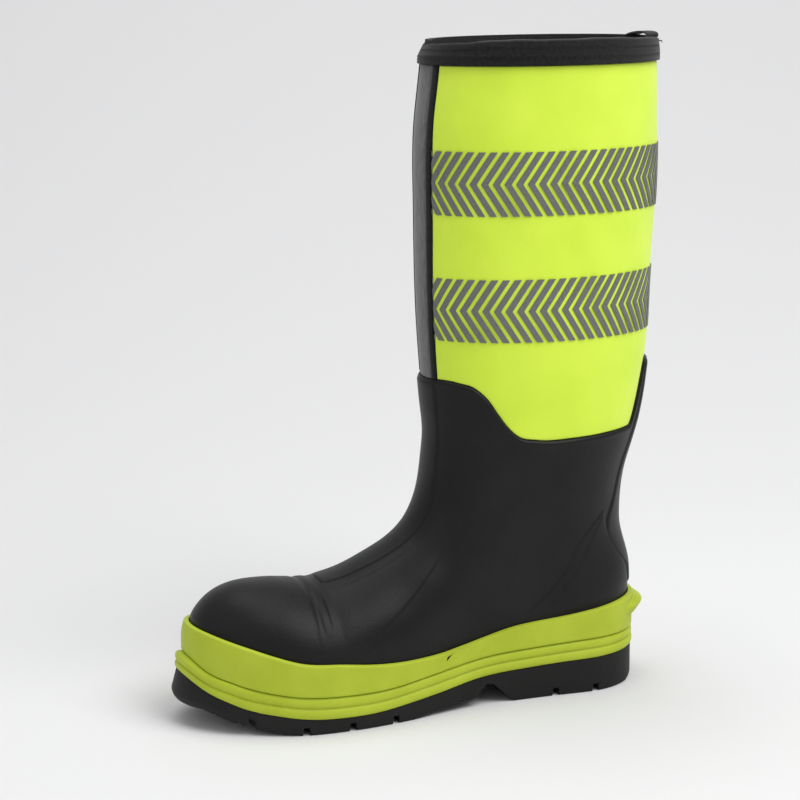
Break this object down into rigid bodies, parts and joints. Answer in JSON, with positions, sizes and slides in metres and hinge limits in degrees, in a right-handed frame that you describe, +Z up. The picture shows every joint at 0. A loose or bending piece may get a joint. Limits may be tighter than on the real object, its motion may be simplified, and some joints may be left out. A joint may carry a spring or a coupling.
{
  "type": "firefighting boot",
  "caption": "Tall pull-on fire boot with a yellow shaft, reflective chevron bands, rubber foot, steel toe cap and lugged sole.",
  "frame": {"origin": "on the ground, under the middle of the boot's outline", "axes": "+Z up the shaft, -Y to the toe, +X to the wearer's outer (lateral) side; a left boot"},
  "size_m": [0.1112, 0.3148, 0.4116],
  "materials": {
    "shaft_yellow": "matt coated knit",
    "strip_grey": "matt woven",
    "cloth_black": "matt ribbed tape",
    "rubber_black": "satin moulded",
    "rubber_outsole": "matt moulded",
    "rubber_lime": "satin moulded",
    "reflective_silver": "retroreflective film",
    "steel": "pressed sheet",
    "fibre_board": "pressed fibre",
    "foam_black": "closed-cell foam",
    "lining_grey": "knitted lining"
  },
  "bodies": {
    "boot": {"back_seam_tape": "cloth_black", "back_stay": "rubber_black", "bumper": "rubber_lime", "cap_edge_foam": "foam_black", "collar_binding": "cloth_black", "counter_stiffener": "fibre_board", "insole_board": "fibre_board", "instep_strip": "rubber_black", "kick_off_spur": "rubber_lime", "lateral_counter_cover": "rubber_black", "lateral_piping": "cloth_black", "lateral_shaft_panel": "shaft_yellow", "lateral_vamp_panel": "rubber_black", "lower_band_lateral": "reflective_silver", "lower_band_medial": "reflective_silver", "medial_counter_cover": "rubber_black", "medial_piping": "cloth_black", "medial_shaft_panel": "shaft_yellow", "medial_vamp_panel": "rubber_black", "midsole_filler": "foam_black", "neoprene_bootie": "foam_black", "outsole": "rubber_outsole", "pull_loop": "cloth_black", "rand": "rubber_lime", "rubber_foot": "rubber_black", "shin_strip": "strip_grey", "sock_lining": "lining_grey", "steel_midsole_plate": "steel", "steel_shank": "steel", "steel_toe_cap": "steel", "toe_cap_cover": "rubber_black", "toe_cap_edge_strip": "rubber_black", "upper_band_lateral": "reflective_silver", "upper_band_medial": "reflective_silver"},
    "footbed": {"footbed": "lining_grey"}
  },
  "joints": [
    {"name": "footbed_lift", "type": "hinge", "parent": "boot", "child": "footbed", "pos_m": [0, -0.12572, 0.02555], "axis": [1, 0, 0], "range_deg": [0, 12]}
  ]
}
